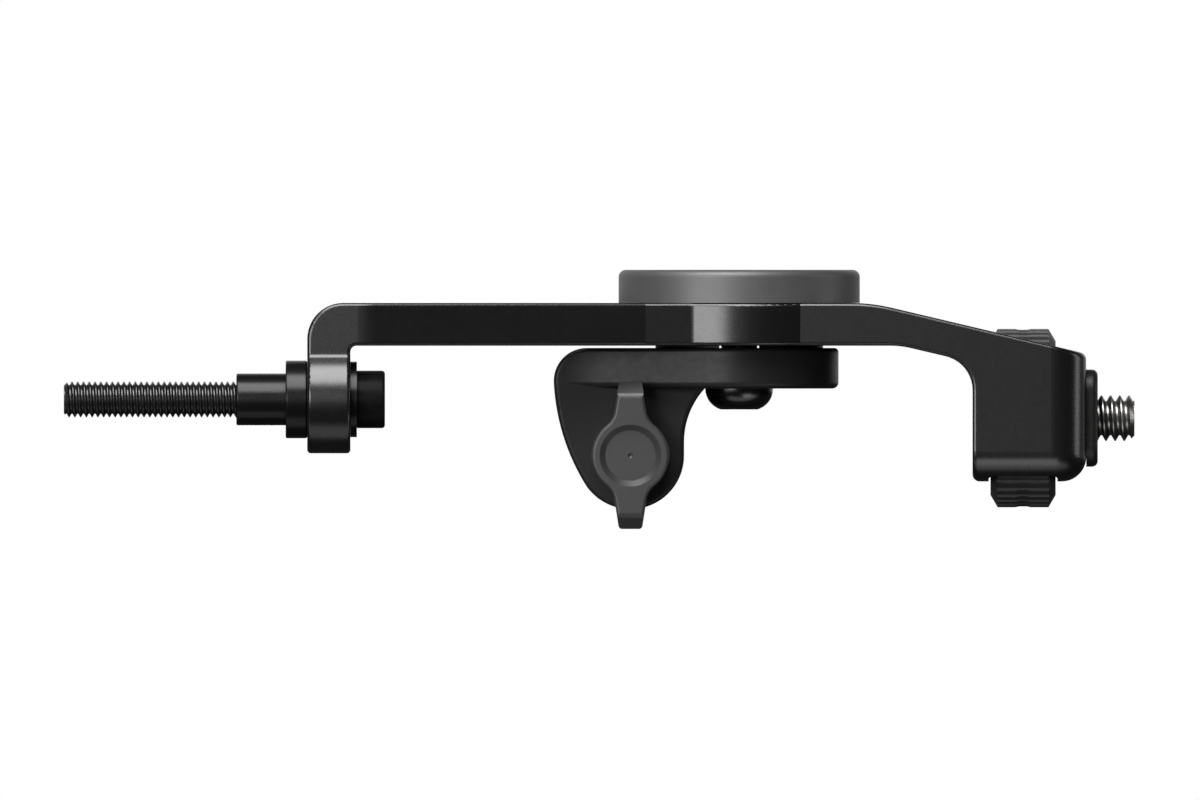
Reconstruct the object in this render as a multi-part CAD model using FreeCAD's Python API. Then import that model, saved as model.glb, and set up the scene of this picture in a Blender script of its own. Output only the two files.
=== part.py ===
import FreeCAD, Part
import math
import os

# A bike computer mount. A forked arm hangs from the two faceplate bolts of a
# stem and reaches forward. On top it carries a round twist-lock socket for the
# computer, below that a three-finger mount on one central screw, and at its
# front end a box with a captive thumb wheel that turns a camera screw.
#
# Frame in millimetres: +X forward from the stem, +Z up, the arm is symmetric
# about Y = 0. The origin is midway between the two stem bolts, in the plane
# where their threads leave the stepped spacers.

# Stem bolts, with their spacers and washers
BOLT_SPACING = 40.0
BOLT_R = 2.5
BOLT_REACH = 23.8
BOLT_POINT = 0.6
BOLT_HEAD_R = 4.0
BOLT_HEAD_LENGTH = 3.9
BOLT_HEAD_ROUND = 0.4
BOLT_KEY = 4.0
BOLT_KEY_DEPTH = 2.6
BOLT_SHANK_R = 2.3
BOLT_PLAY = 0.25
THREAD_RUNOUT = 0.15
SLEEVE_R = 3.6
SLEEVE_LENGTH = 7.0
COLLAR_R = 5.4
COLLAR_LENGTH = 3.0
SPACER_EDGE = 0.25
WASHER_R = 5.25
WASHER_THICKNESS = 0.9

# Arm: fork, disc and slope
EYE_R = 7.5
EYE_THICKNESS = 6.0
LEG_HALF_WIDTH = 4.5
LEG_FILLET = 1.1
ARM_TOP = 13.4
ARM_THICKNESS = 5.95
ARM_EDGE = 0.5
OUTER_BEND = 5.0
INNER_BEND = 0.85
LEG_RUN = 8.1
KNEE_R = 10.0
NECK_ANGLE = 5.0
NECK_INSET = 1.76
NECK_BEFORE_DISC = 13.0
NECK_FILLET = 2.0
NOSE_INSET = 2.3
CROTCH_BEFORE_DISC = 19.5
CROTCH_FILLET = 6.0
DISC_FROM_EYE = 60.0
DISC_R = 16.8
SLOPE_FROM_DISC = 18.4
SLOPE_ANGLE = 13.3
SLOPE_THICKNESS = 4.86
SLOPE_TOP_BEND = 24.0
SLOPE_LOW_BEND = 12.0

# Arm: box around the thumb wheel
BOX_FROM_DISC = 32.4
BOX_BELOW_AXIS = 8.8
BOX_SIDE_WALL = 1.8
BOX_BACK_WALL = 2.25
BOX_FRONT_WALL = 4.0
BOX_THROAT = 4.8
BOX_BACK_ROUND = 1.0
BOX_NOSE_ROUND = 1.1
BOX_CHIN_ROUND = 3.4
BOX_SILL_ROUND = 4.2
BOX_FRONT_ROUND = 4.9
SLOT_CORNER = 0.8

# Thumb wheel, its grub screw, camera screw and pad
WHEEL_AXIS_Z = -2.6
WHEEL_R = 12.4
WHEEL_WIDTH = 9.05
WHEEL_BEVEL = 1.0
WHEEL_BEVEL_DEPTH = 1.7
WHEEL_WAIST_WIDTH = 2.2
WHEEL_WAIST_DEPTH = 0.12
WHEEL_SIDE_GAP = 0.25
WHEEL_RIM_GAP = 0.3
WHEEL_GROOVES = 48
WHEEL_GROOVE_R = 0.55
WHEEL_GROOVE_DEPTH = 0.3
WHEEL_BORE_PLAY = 0.03
RUNNING_CLEARANCE = 0.06
THREAD_CLEARANCE = 0.05
CAMERA_SCREW_R = 3.175
CAMERA_SCREW_REACH = 5.1
CAMERA_SCREW_POINT = 0.7
CAMERA_RELIEF_R = 2.6
CAMERA_HEAD_R = 4.5
CAMERA_HEAD_SINK = 0.5
CAMERA_KEY = 4.0
CAMERA_KEY_DEPTH = 2.5
GRUB_R = 1.5
GRUB_LENGTH = 5.0
GRUB_KEY = 1.5
GRUB_KEY_DEPTH = 1.4
PAD_HALF_WIDTH = 9.4
PAD_HALF_HEIGHT = 6.75
PAD_THICKNESS = 1.6
PAD_CORNER = 3.0
PAD_EDGE = 0.6
PAD_HOLE_PLAY = 0.4

# Twist-lock socket and its two countersunk screws
SOCKET_R = 16.75
SOCKET_HEIGHT = 4.6
SOCKET_EDGE = 1.0
SOCKET_FLOOR = 1.9
SOCKET_LIP = 1.3
SOCKET_LIP_EDGE = 0.3
SOCKET_WALL = 2.05
SOCKET_GROOVE_DEPTH = 2.0
SOCKET_NOTCH_ANGLE = 56.0
SOCKET_DETENT_R = 0.5
SOCKET_SCREW_SPACING = 17.0
SOCKET_SCREW_R = 1.5
SOCKET_SCREW_HEAD_R = 2.9
SOCKET_SCREW_LENGTH = 6.5
SOCKET_SCREW_KEY = 2.0
SOCKET_SCREW_KEY_DEPTH = 1.1
SOCKET_SCREW_PLAY = 0.1
SOCKET_HOLE_SPARE = 0.5

# Finger mount and the button-head screw that holds it to the arm
FINGER_GAP_TO_ARM = 0.3
FINGER_PLATE = 5.65
FINGER_DISC_R = 13.8
FINGER_TAPER = 19.6
FINGER_BOSS_R = 11.65
FINGER_CHANNEL = 5.5
FINGER_BACK = 25.8
FINGER_BACK_R = 30.0
FINGER_KNEE_R = 26.0
FINGER_SHOULDER_R = 4.6
FINGER_AXIS_BACK = 15.1
FINGER_AXIS_Z = -7.8
FINGER_TIP_R = 7.45
FINGER_THROAT_R = 11.0
FINGER_THROAT_LIFT = 1.9
FINGER_THICKNESS = 3.0
FINGER_SLOT = 3.2
FINGER_SLOT_R = 8.3
FINGER_WEB_LIFT = 3.0
FINGER_LOW_ROUND = 0.9
FINGER_EDGE = 0.6
PIVOT_PLAY = 0.1
PIVOT_SCREW_R = 2.5
PIVOT_SCREW_LENGTH = 11.3
PIVOT_HEAD_R = 4.72
PIVOT_HEAD_FLAT_R = 2.55
PIVOT_HEAD_HEIGHT = 2.9
PIVOT_KEY = 3.0
PIVOT_KEY_DEPTH = 1.6

# Nut boss, nut and thumb screw of the fingers
NUT_FLATS = 8.0
NUT_THICKNESS = 4.0
NUT_SINK = 0.6
NUT_PLAY = 0.1
NUT_BOSS_R = 6.3
NUT_BOSS_LENGTH = 3.6
NUT_EDGE = 0.5
THUMB_BOLT_R = 2.5
THUMB_BOLT_PAST_NUT = 1.2
THUMB_BOLT_POINT = 0.5
THUMB_HEAD_FLATS = 8.0
THUMB_HEAD_LENGTH = 3.0
THUMB_HEAD_COVER = 1.6
WING_HUB_R = 5.4
WING_HUB_LENGTH = 7.2
WING_REACH = 10.2
WING_TIP_HALF = 1.6
WING_ROOT_HALF = 2.45
WING_BLEND = 3.0
WING_THICKNESS = 3.5
WING_TIP_SLOPE = 1.8
WING_TIP_CORNER = 0.5
WING_EDGE = 0.45
WING_BEND_R = 1.2
DISH_R = 4.3
DISH_DEPTH = 0.7
DISH_WALL = 0.8
DIMPLE_R = 0.38
DIMPLE_DEPTH = 0.3

# Places that follow from the sizes above
BOLT_Y = BOLT_SPACING / 2
EYE_BACK = SLEEVE_LENGTH + COLLAR_LENGTH
EYE_FRONT = EYE_BACK + EYE_THICKNESS
WASHER_FRONT = EYE_FRONT + WASHER_THICKNESS
ARM_BOTTOM = ARM_TOP - ARM_THICKNESS
DISC_X = EYE_BACK + DISC_FROM_EYE
KNEE_X = EYE_BACK + LEG_RUN
NECK_X = DISC_X - NECK_BEFORE_DISC
NECK_END_Y = DISC_R - NECK_INSET
NECK_Y = NECK_END_Y + NECK_BEFORE_DISC * math.tan(math.radians(NECK_ANGLE))
FORK_TAPER = (BOLT_Y + LEG_HALF_WIDTH - NECK_Y) / (NECK_X - KNEE_X)
SLOPE_X = DISC_X + SLOPE_FROM_DISC
SLOPE = math.radians(SLOPE_ANGLE)
BOX_BACK = DISC_X + BOX_FROM_DISC
BOX_BOTTOM = WHEEL_AXIS_Z - BOX_BELOW_AXIS
SLOT_HALF_WIDTH = WHEEL_R + WHEEL_RIM_GAP
BOX_HALF_WIDTH = SLOT_HALF_WIDTH + BOX_SIDE_WALL
SLOT_BACK = BOX_BACK + BOX_BACK_WALL
WHEEL_BACK = SLOT_BACK + WHEEL_SIDE_GAP
WHEEL_FRONT = WHEEL_BACK + WHEEL_WIDTH
SLOT_FRONT = WHEEL_FRONT + WHEEL_SIDE_GAP
BOX_FRONT = SLOT_FRONT + BOX_FRONT_WALL
PAD_FRONT = BOX_FRONT + PAD_THICKNESS
SOCKET_FLOOR_Z = ARM_TOP + SOCKET_FLOOR
SOCKET_TOP = ARM_TOP + SOCKET_HEIGHT
SOCKET_GROOVE_R = SOCKET_R - SOCKET_WALL
SOCKET_MOUTH_R = SOCKET_GROOVE_R - SOCKET_GROOVE_DEPTH
PLATE_TOP = ARM_BOTTOM - FINGER_GAP_TO_ARM
PLATE_BOTTOM = PLATE_TOP - FINGER_PLATE
FINGER_HALF_WIDTH = 1.5 * FINGER_THICKNESS + FINGER_SLOT
FINGER_X = DISC_X - FINGER_AXIS_BACK
FINGER_BACK_X = DISC_X - FINGER_BACK
NUT_SEAT_Y = FINGER_HALF_WIDTH - NUT_SINK
HUB_FRONT_Y = -FINGER_HALF_WIDTH - WING_HUB_LENGTH
THUMB_HEAD_Y = HUB_FRONT_Y + THUMB_HEAD_COVER
TINY = 1e-6
NEAR = 0.01
SPARE = 1.0
SHARP_TURN = 0.25


def vec(x, y, z):
    return FreeCAD.Vector(x, y, z)


def close(a, b):
    return abs(a - b) < NEAR


def on_side(a, b):
    """Puts an outline in the X Z plane."""
    return vec(a, 0, b)


def on_plan(a, b):
    """Puts an outline in the X Y plane."""
    return vec(a, b, 0)


def on_front(a, b):
    """Puts an outline in the Y Z plane."""
    return vec(0, a, b)


def rounded_face(corners, lift):
    """Face through the corners (a, b, radius), each rounded by its own radius."""
    points = [vec(a, b, 0) for a, b, radius in corners]
    bends = []
    for i, (a, b, radius) in enumerate(corners):
        here = points[i]
        if radius == 0:
            bends.append((here, here, here))
            continue
        back = (points[i - 1] - here).normalize()
        ahead = (points[(i + 1) % len(points)] - here).normalize()
        half = back.getAngle(ahead) / 2
        inward = (back + ahead).normalize()
        middle = here + inward * (radius / math.sin(half) - radius)
        cut = radius / math.tan(half)
        bends.append((here + back * cut, middle, here + ahead * cut))
    edges = []
    for i, (start, middle, end) in enumerate(bends):
        before = bends[i - 1][2]
        if (start - before).Length > TINY:
            edges.append(Part.LineSegment(lift(before.x, before.y), lift(start.x, start.y)).toShape())
        if (end - start).Length > TINY:
            arc = Part.Arc(lift(start.x, start.y), lift(middle.x, middle.y), lift(end.x, end.y))
            edges.append(arc.toShape())
    return Part.Face(Part.Wire(edges))


def arc_about(centre, radius, start, end):
    """Arc in the X Z plane between two angles in radians, counted from +X towards +Z."""
    points = [vec(centre.x + radius * math.cos(turn), 0, centre.z + radius * math.sin(turn))
              for turn in (start, (start + end) / 2, end)]
    return Part.Arc(*points).toShape()


def line(start, end):
    return Part.LineSegment(start, end).toShape()


def along_x(radius, x0, x1, y, z):
    return Part.makeCylinder(radius, x1 - x0, vec(x0, y, z), vec(1, 0, 0))


def along_y(radius, y0, y1, x, z):
    return Part.makeCylinder(radius, y1 - y0, vec(x, y0, z), vec(0, 1, 0))


def along_z(radius, z0, z1, x, y):
    return Part.makeCylinder(radius, z1 - z0, vec(x, y, z0), vec(0, 0, 1))


def block(x0, x1, y0, y1, z0, z1):
    return Part.makeBox(x1 - x0, y1 - y0, z1 - z0, vec(x0, y0, z0))


def turned(profile, start, axis):
    """Solid turned about an axis from (distance along it, radius, round) corners."""
    solid = rounded_face(profile, on_plan).revolve(vec(0, 0, 0), vec(1, 0, 0), 360)
    solid.Placement = FreeCAD.Placement(start, FreeCAD.Rotation(vec(1, 0, 0), axis))
    return solid


def hex_prism(flats, start, axis, length):
    """Six-sided prism from start along the axis."""
    corner = flats / math.sqrt(3)
    turns = [math.radians(60 * i) for i in range(6)]
    points = [vec(corner * math.cos(turn), corner * math.sin(turn), 0) for turn in turns]
    prism = Part.Face(Part.makePolygon(points + points[:1])).extrude(vec(0, 0, length))
    prism.Placement = FreeCAD.Placement(start, FreeCAD.Rotation(vec(0, 0, 1), axis))
    return prism


def normals_beside(shape, edge):
    """Outward directions of the faces that meet at the middle of an edge."""
    middle = edge.valueAt((edge.FirstParameter + edge.LastParameter) / 2)
    normals = []
    for face in shape.ancestorsOfType(edge, Part.Face):
        u, v = face.Surface.parameter(middle)
        normals.append(face.normalAt(u, v))
    return normals


def rounded(shape, radius_of):
    """The shape with every edge rounded by the radius that radius_of gives it, 0 being sharp."""
    doc = FreeCAD.newDocument("rounding")
    base = doc.addObject("Part::Feature", "base")
    base.Shape = shape
    result = doc.addObject("Part::Fillet", "result")
    result.Base = base
    rows = []
    for number, edge in enumerate(shape.Edges, start=1):
        radius = radius_of(edge.CenterOfMass, edge.BoundBox, normals_beside(shape, edge))
        if radius > 0:
            rows.append((number, radius, radius))
    result.Edges = rows
    doc.recompute()
    solid = result.Shape.copy()
    FreeCAD.closeDocument(doc.Name)
    return solid


# Arm
def slope_z(x):
    """Height of the sloping top face at x."""
    return ARM_TOP - (x - SLOPE_X) * math.tan(SLOPE)


def fork_edge_y(x, inset):
    """Half width of the fork at x, less an inset measured square to its edge."""
    return NECK_Y + (NECK_X - x) * FORK_TAPER - inset * math.hypot(1, FORK_TAPER)


def make_arm_side():
    """The arm seen from the side, from one flank to the other."""
    drop = SLOPE_THICKNESS / math.cos(SLOPE)
    low_start = SLOPE_X + (ARM_THICKNESS - drop) / math.tan(SLOPE)
    foot = ARM_BOTTOM - INNER_BEND
    reach = BOLT_Y + EYE_R
    face = rounded_face([
        (EYE_BACK, foot, 0),
        (EYE_BACK, ARM_TOP, OUTER_BEND),
        (SLOPE_X, ARM_TOP, SLOPE_TOP_BEND),
        (BOX_FRONT, slope_z(BOX_FRONT), 0),
        (BOX_FRONT, BOX_BOTTOM, 0),
        (BOX_BACK, BOX_BOTTOM, 0),
        (BOX_BACK, slope_z(BOX_BACK) - drop, BOX_THROAT),
        (low_start, ARM_BOTTOM, SLOPE_LOW_BEND),
        (EYE_FRONT, ARM_BOTTOM, INNER_BEND),
        (EYE_FRONT, foot, 0),
    ], on_side)
    face.translate(vec(0, -reach, 0))
    return face.extrude(vec(0, 2 * reach, 0))


def make_arm_plan():
    """The arm seen from above: two legs that draw together, the disc and the nose."""
    crotch = DISC_X - CROTCH_BEFORE_DISC
    half = [
        (BOX_FRONT, BOX_HALF_WIDTH, 0),
        (BOX_BACK, BOX_HALF_WIDTH, 0),
        (DISC_X, DISC_R - NOSE_INSET, 0),
        (DISC_X, NECK_END_Y, 0),
        (NECK_X, NECK_Y, 0),
        (KNEE_X, BOLT_Y + LEG_HALF_WIDTH, KNEE_R),
        (EYE_BACK, BOLT_Y + LEG_HALF_WIDTH, 0),
        (EYE_BACK, BOLT_Y - LEG_HALF_WIDTH, 0),
        (KNEE_X, BOLT_Y - LEG_HALF_WIDTH, KNEE_R),
        (crotch, fork_edge_y(crotch, 2 * LEG_HALF_WIDTH), CROTCH_FILLET),
    ]
    mirrored = [(x, -y, radius) for x, y, radius in reversed(half)]
    prism = rounded_face(half + mirrored, on_plan).extrude(vec(0, 0, ARM_TOP - BOX_BOTTOM))
    prism.translate(vec(0, 0, BOX_BOTTOM))
    prism = prism.fuse(along_z(DISC_R, BOX_BOTTOM, ARM_TOP, DISC_X, 0)).removeSplitter()
    necks = [edge for edge in prism.Edges
             if close(edge.BoundBox.ZLength, ARM_TOP - BOX_BOTTOM)
             and close((edge.CenterOfMass - vec(DISC_X, 0, edge.CenterOfMass.z)).Length, DISC_R)
             and edge.CenterOfMass.x < DISC_X]
    return prism.makeFillet(NECK_FILLET, necks)


def make_eye(y):
    """Round eye of one leg, with the foot of the leg flowing into it."""
    blend_y = LEG_HALF_WIDTH + LEG_FILLET
    blend_z = math.sqrt((EYE_R + LEG_FILLET) ** 2 - blend_y ** 2)
    share = EYE_R / (EYE_R + LEG_FILLET)
    turn = (math.pi + math.atan2(-blend_z, -blend_y) + 2 * math.pi) / 2
    top = (LEG_HALF_WIDTH, ARM_BOTTOM + INNER_BEND)
    start = (LEG_HALF_WIDTH, blend_z)
    middle = (blend_y + LEG_FILLET * math.cos(turn), blend_z + LEG_FILLET * math.sin(turn))
    end = (share * blend_y, share * blend_z)

    def at(point, side):
        return vec(EYE_BACK, y + side * point[0], point[1])

    edges = [line(at(top, -1), at(top, 1))]
    for side in (-1, 1):
        edges.append(line(at(top, side), at(start, side)))
        edges.append(Part.Arc(at(start, side), at(middle, side), at(end, side)).toShape())
    edges.append(Part.Arc(at(end, -1), vec(EYE_BACK, y, -EYE_R), at(end, 1)).toShape())
    outline = Part.Wire(Part.__sortEdges__(edges))
    return Part.Face(outline).extrude(vec(EYE_THICKNESS, 0, 0))


def is_flank_rim(normals):
    """True for an edge between a face that looks sideways and one that does not."""
    sideways = [abs(normal.y) > NEAR for normal in normals]
    return sideways[0] != sideways[1] and normals[0].getAngle(normals[1]) > SHARP_TURN


def arm_round(at, box, normals):
    """Rounding radius for one edge of the arm."""
    on_flank = close(abs(at.y), BOX_HALF_WIDTH) and at.x > BOX_BACK
    on_front = close(at.x, BOX_FRONT)
    on_bottom = close(at.z, BOX_BOTTOM)
    if on_bottom and on_flank:
        return BOX_SILL_ROUND
    if on_front and on_flank:
        return BOX_FRONT_ROUND
    if on_front and on_bottom:
        return BOX_CHIN_ROUND
    if on_front and close(at.z, slope_z(BOX_FRONT)):
        return BOX_NOSE_ROUND
    if on_bottom and close(at.x, BOX_BACK):
        return BOX_BACK_ROUND
    return ARM_EDGE if is_flank_rim(normals) else 0


def make_arm():
    arm = make_arm_side().common(make_arm_plan()).removeSplitter()
    for side in (-1, 1):
        arm = arm.fuse(make_eye(side * BOLT_Y))
    arm = rounded(arm.removeSplitter(), arm_round)
    slot = rounded_face([
        (SLOT_BACK, -SLOT_HALF_WIDTH, SLOT_CORNER),
        (SLOT_FRONT, -SLOT_HALF_WIDTH, SLOT_CORNER),
        (SLOT_FRONT, SLOT_HALF_WIDTH, SLOT_CORNER),
        (SLOT_BACK, SLOT_HALF_WIDTH, SLOT_CORNER),
    ], on_plan).extrude(vec(0, 0, ARM_TOP - BOX_BOTTOM + SPARE))
    slot.translate(vec(0, 0, BOX_BOTTOM - SPARE))
    cuts = [
        slot,
        along_x(CAMERA_SCREW_R + RUNNING_CLEARANCE, SLOT_FRONT - SPARE, BOX_FRONT + SPARE, 0, WHEEL_AXIS_Z),
        along_x(CAMERA_HEAD_R + RUNNING_CLEARANCE, BOX_BACK - SPARE, SLOT_BACK + SPARE, 0, WHEEL_AXIS_Z),
        along_z(PIVOT_SCREW_R + THREAD_CLEARANCE, ARM_BOTTOM - SPARE, ARM_TOP + SPARE, DISC_X, 0),
    ]
    for side in (-1, 1):
        cuts.append(along_x(BOLT_R + BOLT_PLAY, EYE_BACK - SPARE, EYE_FRONT + SPARE, side * BOLT_Y, 0))
        depth = SOCKET_SCREW_LENGTH + SOCKET_HOLE_SPARE - SOCKET_FLOOR
        cuts.append(along_z(SOCKET_SCREW_R + THREAD_CLEARANCE, ARM_TOP - depth, ARM_TOP + SPARE,
                            DISC_X + side * SOCKET_SCREW_SPACING / 2, 0))
    return arm.cut(cuts)


# Stem bolts
def make_stem_bolt(y):
    under = WASHER_FRONT
    top = under + BOLT_HEAD_LENGTH
    bolt = turned([
        (-BOLT_REACH, 0, 0),
        (-BOLT_REACH, BOLT_R - BOLT_POINT, 0),
        (BOLT_POINT - BOLT_REACH, BOLT_R, 0),
        (0, BOLT_R, 0),
        (0, BOLT_SHANK_R, 0),
        (under, BOLT_SHANK_R, 0),
        (under, BOLT_HEAD_R, 0),
        (top, BOLT_HEAD_R, BOLT_HEAD_ROUND),
        (top, 0, 0),
    ], vec(0, y, 0), vec(1, 0, 0))
    key = hex_prism(BOLT_KEY, vec(top - BOLT_KEY_DEPTH, y, 0), vec(1, 0, 0), BOLT_KEY_DEPTH + SPARE)
    return bolt.cut(key)


def make_stem_spacer(y):
    hole = BOLT_R + BOLT_PLAY
    return turned([
        (THREAD_RUNOUT, hole, 0),
        (THREAD_RUNOUT, SLEEVE_R, SPACER_EDGE),
        (SLEEVE_LENGTH, SLEEVE_R, 0),
        (SLEEVE_LENGTH, COLLAR_R, SPACER_EDGE),
        (EYE_BACK, COLLAR_R, SPACER_EDGE),
        (EYE_BACK, hole, 0),
    ], vec(0, y, 0), vec(1, 0, 0))


def make_stem_washer(y):
    hole = BOLT_R + BOLT_PLAY
    washer = along_x(WASHER_R, EYE_FRONT, WASHER_FRONT, y, 0)
    return washer.cut(along_x(hole, EYE_FRONT - SPARE, WASHER_FRONT + SPARE, y, 0))


# Twist-lock socket
def make_socket():
    """Cup with a lip over a groove, and two notches that let the computer's tabs in."""
    lip_z = SOCKET_TOP - SOCKET_LIP
    socket = turned([
        (ARM_TOP, 0, 0),
        (ARM_TOP, SOCKET_R, 0),
        (SOCKET_TOP, SOCKET_R, SOCKET_EDGE),
        (SOCKET_TOP, SOCKET_MOUTH_R, SOCKET_LIP_EDGE),
        (lip_z, SOCKET_MOUTH_R, 0),
        (lip_z, SOCKET_GROOVE_R, 0),
        (SOCKET_FLOOR_Z, SOCKET_GROOVE_R, 0),
        (SOCKET_FLOOR_Z, 0, 0),
    ], vec(DISC_X, 0, 0), vec(0, 0, 1))
    wedge = Part.makeCylinder(SOCKET_GROOVE_R, SOCKET_LIP + SPARE, vec(0, 0, lip_z - SPARE / 2),
                              vec(0, 0, 1), SOCKET_NOTCH_ANGLE)
    for side in (-1, 1):
        notch = wedge.copy()
        notch.rotate(vec(0, 0, 0), vec(0, 0, 1), side * 90 - SOCKET_NOTCH_ANGLE / 2)
        notch.translate(vec(DISC_X, 0, 0))
        socket = socket.cut(notch)
        detent = along_z(SOCKET_DETENT_R, SOCKET_FLOOR_Z, lip_z, DISC_X + side * SOCKET_GROOVE_R, 0)
        socket = socket.fuse(detent)
        socket = socket.cut(make_socket_screw_seat(side))
    return socket


def countersunk(side, play):
    """Body of a countersunk screw, larger all round by the play."""
    length = SOCKET_SCREW_LENGTH
    radius = SOCKET_SCREW_R + play
    head = SOCKET_SCREW_HEAD_R + play
    return turned([
        (-length, 0, 0),
        (-length, radius, 0),
        (radius - head, radius, 0),
        (0, head, 0),
        (0, 0, 0),
    ], vec(DISC_X + side * SOCKET_SCREW_SPACING / 2, 0, SOCKET_FLOOR_Z), vec(0, 0, 1))


def make_socket_screw_seat(side):
    return countersunk(side, SOCKET_SCREW_PLAY)


def make_socket_screw(side):
    x = DISC_X + side * SOCKET_SCREW_SPACING / 2
    depth = SOCKET_SCREW_KEY_DEPTH
    key = hex_prism(SOCKET_SCREW_KEY, vec(x, 0, SOCKET_FLOOR_Z - depth), vec(0, 0, 1), depth + SPARE)
    return countersunk(side, 0).cut(key)


# Finger mount
def make_finger_side():
    """The finger mount seen from the side: plate, rounded back and fingers."""
    plate_front = DISC_X + FINGER_DISC_R
    tip = vec(FINGER_X, 0, FINGER_AXIS_Z)
    lean = FINGER_BACK_R - FINGER_TIP_R
    back_x = FINGER_BACK_X + FINGER_BACK_R
    back = vec(back_x, 0, FINGER_AXIS_Z + math.sqrt(lean ** 2 - (back_x - FINGER_X) ** 2))
    shoulder_z = PLATE_TOP - FINGER_SHOULDER_R
    inner = FINGER_BACK_R - FINGER_SHOULDER_R
    shoulder = vec(back_x - math.sqrt(inner ** 2 - (back.z - shoulder_z) ** 2), 0, shoulder_z)
    front_x = FINGER_X + FINGER_TIP_R
    throat = vec(front_x + FINGER_THROAT_R, 0, FINGER_AXIS_Z + FINGER_THROAT_LIFT)
    throat_end = math.pi - math.asin((PLATE_BOTTOM - throat.z) / FINGER_THROAT_R)
    root_x = throat.x + FINGER_THROAT_R * math.cos(throat_end)
    on_tip = math.pi + math.atan2(back.z - tip.z, back.x - tip.x)
    on_shoulder = math.pi + math.atan2(back.z - shoulder.z, back.x - shoulder.x)
    edges = [
        line(vec(plate_front, 0, PLATE_TOP), vec(shoulder.x, 0, PLATE_TOP)),
        arc_about(shoulder, FINGER_SHOULDER_R, math.pi / 2, on_shoulder),
        arc_about(back, FINGER_BACK_R, on_shoulder, on_tip),
        arc_about(tip, FINGER_TIP_R, on_tip, 2 * math.pi),
        line(vec(front_x, 0, tip.z), vec(front_x, 0, throat.z)),
        arc_about(throat, FINGER_THROAT_R, math.pi, throat_end),
        line(vec(root_x, 0, PLATE_BOTTOM), vec(plate_front, 0, PLATE_BOTTOM)),
        line(vec(plate_front, 0, PLATE_BOTTOM), vec(plate_front, 0, PLATE_TOP)),
    ]
    reach = FINGER_DISC_R + SPARE
    face = Part.Face(Part.Wire(edges))
    face.translate(vec(0, -reach, 0))
    return face.extrude(vec(0, 2 * reach, 0))


def make_finger_plate():
    """The plate: a disc that tapers back to the fingers' width, its lower rim rounded."""
    taper = math.radians(FINGER_TAPER)
    touch_x = DISC_X - FINGER_DISC_R * math.sin(taper)
    touch_y = FINGER_DISC_R * math.cos(taper)
    knee_x = touch_x - (touch_y - FINGER_HALF_WIDTH) / math.tan(taper)
    face = rounded_face([
        (FINGER_BACK_X, -FINGER_HALF_WIDTH, 0),
        (knee_x, -FINGER_HALF_WIDTH, FINGER_KNEE_R),
        (touch_x, -touch_y, 0),
        (touch_x, touch_y, 0),
        (knee_x, FINGER_HALF_WIDTH, FINGER_KNEE_R),
        (FINGER_BACK_X, FINGER_HALF_WIDTH, 0),
    ], on_plan)
    face.translate(vec(0, 0, PLATE_BOTTOM))
    plate = face.extrude(vec(0, 0, FINGER_PLATE))
    plate = plate.fuse(along_z(FINGER_DISC_R, PLATE_BOTTOM, PLATE_TOP, DISC_X, 0)).removeSplitter()
    low = [edge for edge in plate.Edges if close(edge.BoundBox.ZMax, PLATE_BOTTOM)
           and edge.CenterOfMass.x > FINGER_BACK_X + TINY]
    return plate.makeFillet(FINGER_LOW_ROUND, low)


def finger_round(at, box, normals):
    """Rounding radius for one edge of the finger mount before its boss and slots are made."""
    on_flank = close(abs(at.y), FINGER_HALF_WIDTH)
    on_plate_rim = close(at.z, PLATE_BOTTOM)
    return FINGER_EDGE if on_flank and is_flank_rim(normals) and not on_plate_rim else 0


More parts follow.
